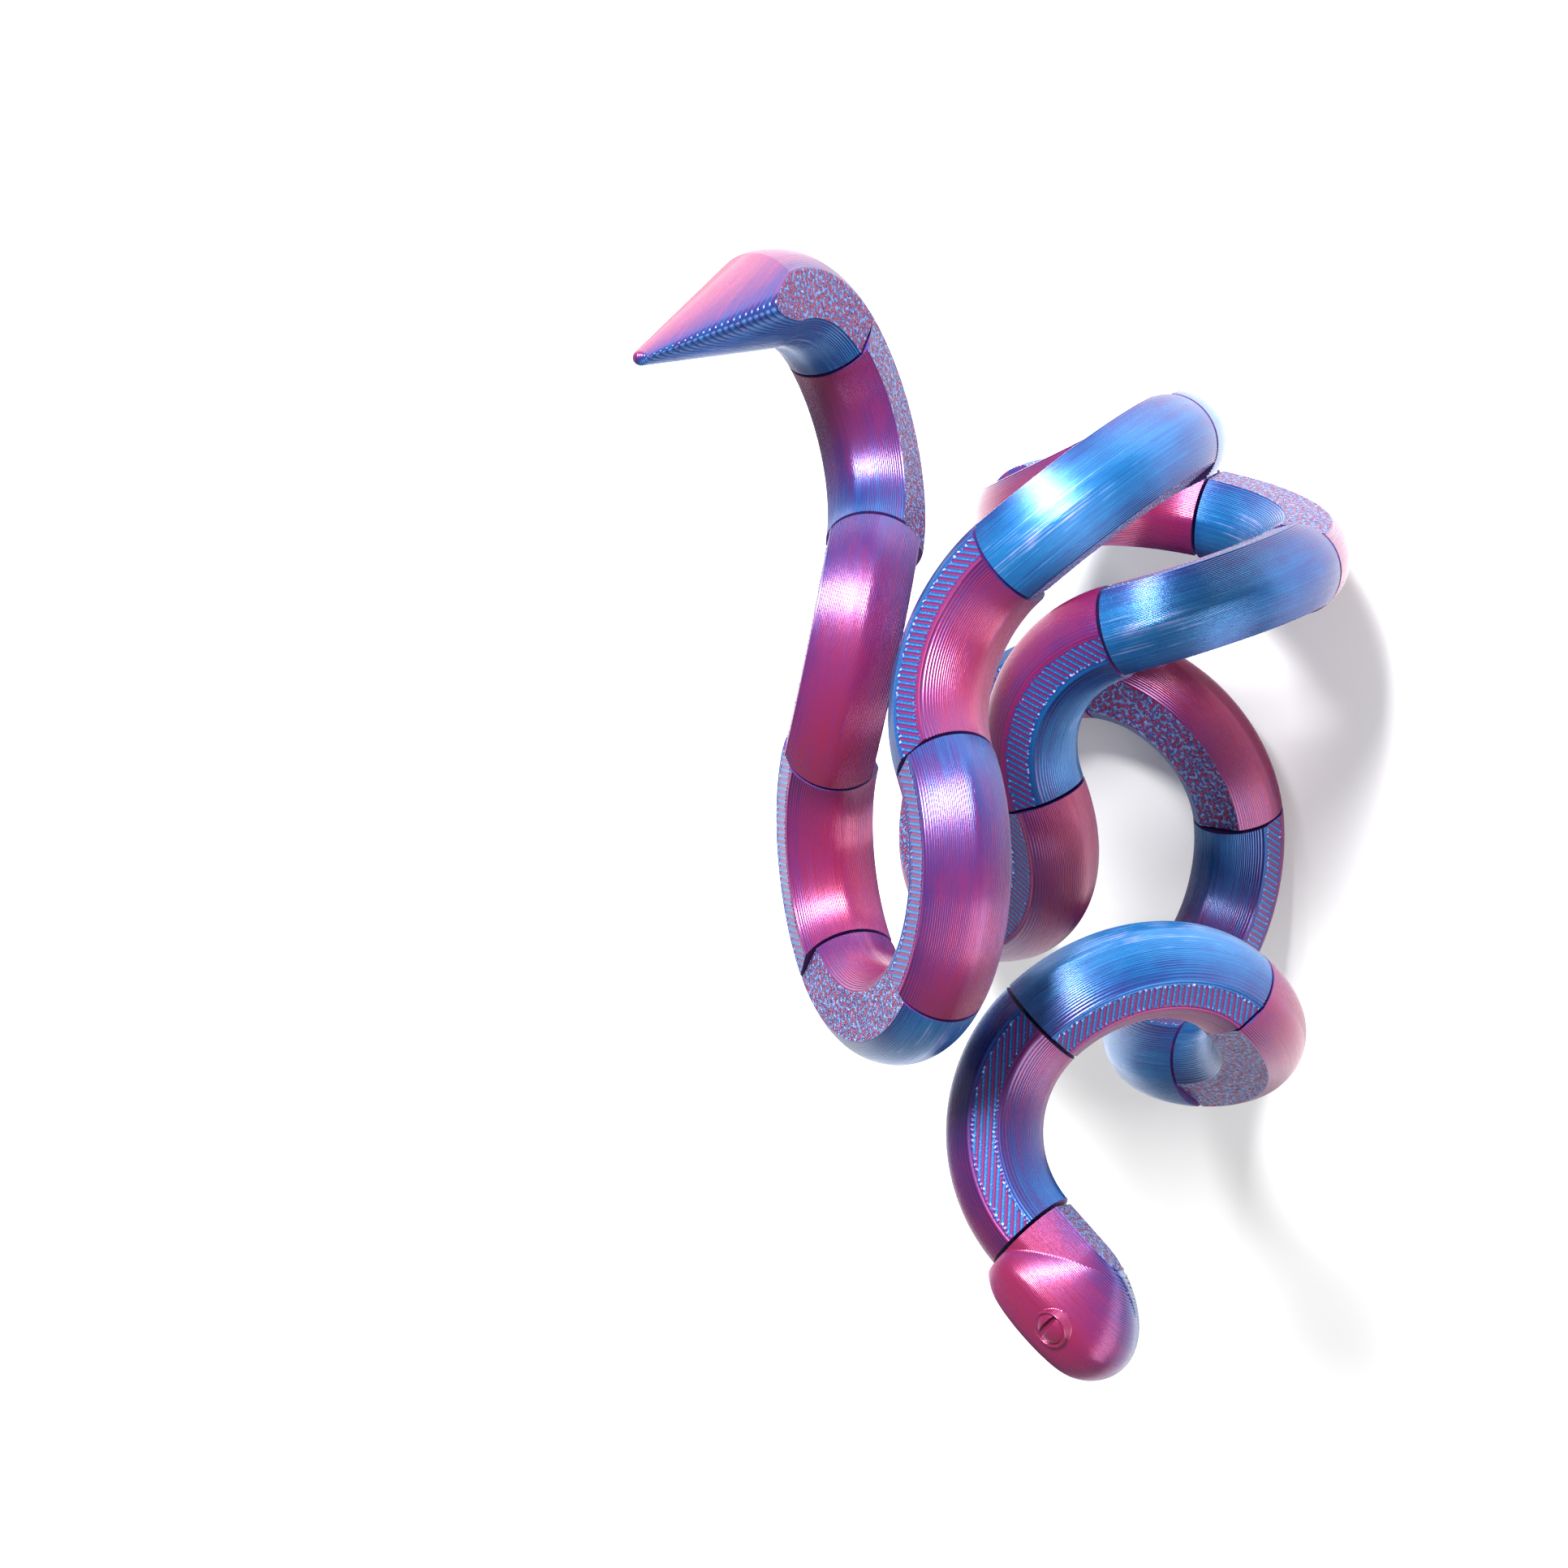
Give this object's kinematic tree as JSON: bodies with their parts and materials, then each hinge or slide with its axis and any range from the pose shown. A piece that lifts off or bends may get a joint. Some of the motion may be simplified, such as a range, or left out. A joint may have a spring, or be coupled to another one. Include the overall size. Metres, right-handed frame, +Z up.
{
  "type": "twisty snake puzzle",
  "caption": "Twisty fidget snake of quarter-turn tube links on in-line swivel joints, with a tapered tail and a rounded head, stored as a loose tangle.",
  "frame": {"origin": "centre of the bounding box's bottom face, on the surface that the tangled snake rests on", "axes": "+Z up, +X towards the tail's end of the tangle, +Y away from the side that the picture looks from"},
  "size_m": [0.1358, 0.0948, 0.1073],
  "materials": {
    "silk_blue": "two-colour silk filament, a print that shows mostly its blue side, satin with layer lines",
    "silk_magenta": "two-colour silk filament, a print that shows mostly its magenta side, satin with layer lines",
    "silk_purple": "two-colour silk filament, a print that shows both sides mixed to purple, satin with layer lines"
  },
  "bodies": {
    "tail": {"tail": "silk_magenta"},
    "link_01": {"link_01": "silk_magenta"},
    "link_02": {"link_02": "silk_magenta"},
    "link_03": {"link_03": "silk_blue"},
    "link_04": {"link_04": "silk_blue"},
    "link_05": {"link_05": "silk_magenta"},
    "link_06": {"link_06": "silk_magenta"},
    "link_07": {"link_07": "silk_blue"},
    "link_08": {"link_08": "silk_blue"},
    "link_09": {"link_09": "silk_purple"},
    "link_10": {"link_10": "silk_purple"},
    "link_11": {"link_11": "silk_blue"},
    "link_12": {"link_12": "silk_blue"},
    "link_13": {"link_13": "silk_magenta"},
    "link_14": {"link_14": "silk_purple"},
    "link_15": {"link_15": "silk_purple"},
    "link_16": {"link_16": "silk_blue"},
    "link_17": {"link_17": "silk_magenta"},
    "link_18": {"link_18": "silk_purple"},
    "link_19": {"link_19": "silk_blue"},
    "link_20": {"link_20": "silk_magenta"},
    "link_21": {"link_21": "silk_blue"},
    "link_22": {"link_22": "silk_purple"},
    "head": {"head": "silk_magenta"}
  },
  "joints": [
    {"name": "tail_to_link_01_swivel", "type": "hinge", "parent": "link_01", "child": "tail", "pos_m": [0.05359, -0.01483, 0.06209], "axis": [0.7706, -0.3884, 0.5053], "continuous": true},
    {"name": "link_01_to_link_02_swivel", "type": "hinge", "parent": "link_02", "child": "link_01", "pos_m": [0.03029, -0.00558, 0.06852], "axis": [0.5027, -0.1169, -0.8565], "range_deg": [-160, 70]},
    {"name": "link_02_to_link_03_swivel", "type": "hinge", "parent": "link_03", "child": "link_02", "pos_m": [0.01341, 0.0118, 0.0776], "axis": [0.4198, -0.8331, 0.3601], "range_deg": [-25, 165]},
    {"name": "link_03_to_link_04_swivel", "type": "hinge", "parent": "link_04", "child": "link_03", "pos_m": [-0.00814, 0.02515, 0.0828], "axis": [0.758, 0.1036, -0.6439], "range_deg": [-180, 0]},
    {"name": "link_04_to_link_05_swivel", "type": "hinge", "parent": "link_05", "child": "link_04", "pos_m": [-0.01586, 0.00664, 0.09916], "axis": [-0.3366, 0.9078, -0.2501], "range_deg": [-180, 0]},
    {"name": "link_05_to_link_06_swivel", "type": "hinge", "parent": "link_06", "child": "link_05", "pos_m": [0.00399, -0.00821, 0.09172], "axis": [-0.7482, -0.0965, 0.6565], "range_deg": [-80, 10]},
    {"name": "link_06_to_link_07_swivel", "type": "hinge", "parent": "link_07", "child": "link_06", "pos_m": [0.01863, -0.02464, 0.07811], "axis": [-0.0518, 0.9948, 0.0872], "range_deg": [-10, 30]},
    {"name": "link_07_to_link_08_swivel", "type": "hinge", "parent": "link_08", "child": "link_07", "pos_m": [0.01815, -0.04133, 0.05834], "axis": [0.078, -0.083, 0.9935], "range_deg": [-180, 5]},
    {"name": "link_08_to_link_09_swivel", "type": "hinge", "parent": "link_09", "child": "link_08", "pos_m": [0.02021, -0.02189, 0.04138], "axis": [-0.1906, -0.9794, -0.0669], "range_deg": [-105, 0]},
    {"name": "link_09_to_link_10_swivel", "type": "hinge", "parent": "link_10", "child": "link_09", "pos_m": [0.02258, -0.00251, 0.0244], "axis": [0.0609, -0.0798, 0.9949], "range_deg": [-15, 10]},
    {"name": "link_10_to_link_11_swivel", "type": "hinge", "parent": "link_11", "child": "link_10", "pos_m": [0.00811, -0.01355, 0.006], "axis": [0.7301, 0.6833, 0.0101], "range_deg": [0, 180]},
    {"name": "link_11_to_link_12_swivel", "type": "hinge", "parent": "link_11", "child": "link_12", "pos_m": [-0.00414, -0.02751, 0.02403], "axis": [0.0609, -0.0798, 0.9949], "range_deg": [-5, 180]},
    {"name": "link_12_to_link_13_swivel", "type": "hinge", "parent": "link_12", "child": "link_13", "pos_m": [0.00353, -0.01191, 0.0432], "axis": [0.3578, 0.9323, 0.0528], "range_deg": [-20, 5]},
    {"name": "link_13_to_link_14_swivel", "type": "hinge", "parent": "link_13", "child": "link_14", "pos_m": [-0.00691, 0.01176, 0.04255], "axis": [-0.9282, 0.3613, -0.0887], "range_deg": [-95, 20]},
    {"name": "link_14_to_link_15_swivel", "type": "hinge", "parent": "link_14", "child": "link_15", "pos_m": [-0.01727, 0.03345, 0.03294], "axis": [0.3623, 0.8238, -0.436], "range_deg": [-65, 10]},
    {"name": "link_15_to_link_16_swivel", "type": "hinge", "parent": "link_15", "child": "link_16", "pos_m": [0.00005, 0.03818, 0.0143], "axis": [0.5841, -0.5652, -0.5826], "range_deg": [0, 180]},
    {"name": "link_16_to_link_17_swivel", "type": "hinge", "parent": "link_16", "child": "link_17", "pos_m": [-0.00039, 0.01356, 0.00634], "axis": [-0.608, -0.7801, 0.1473], "range_deg": [-5, 125]},
    {"name": "link_17_to_link_18_swivel", "type": "hinge", "parent": "link_17", "child": "link_18", "pos_m": [-0.02603, 0.01007, 0.00623], "axis": [-0.7933, 0.5893, -0.1532], "range_deg": [-180, 5]},
    {"name": "link_18_to_link_19_swivel", "type": "hinge", "parent": "link_18", "child": "link_19", "pos_m": [-0.03979, 0.0264, 0.02085], "axis": [0.0416, 0.3035, 0.9519], "range_deg": [-180, 15]},
    {"name": "link_19_to_link_20_swivel", "type": "hinge", "parent": "link_19", "child": "link_20", "pos_m": [-0.04688, 0.01631, 0.0436], "axis": [-0.4293, -0.8549, 0.2913], "range_deg": [-30, 180]},
    {"name": "link_20_to_link_21_swivel", "type": "hinge", "parent": "link_20", "child": "link_21", "pos_m": [-0.04062, -0.00261, 0.06011], "axis": [0.7712, -0.1791, 0.6108], "range_deg": [-70, 180]},
    {"name": "link_21_to_link_22_swivel", "type": "hinge", "parent": "link_21", "child": "link_22", "pos_m": [-0.02845, 0.01077, 0.07862], "axis": [-0.1061, 0.91, 0.4008], "range_deg": [-145, 80]},
    {"name": "link_22_to_head_swivel", "type": "hinge", "parent": "link_22", "child": "head", "pos_m": [-0.04806, 0.02393, 0.08921], "axis": [-0.9654, -0.1908, 0.1777], "continuous": true}
  ]
}
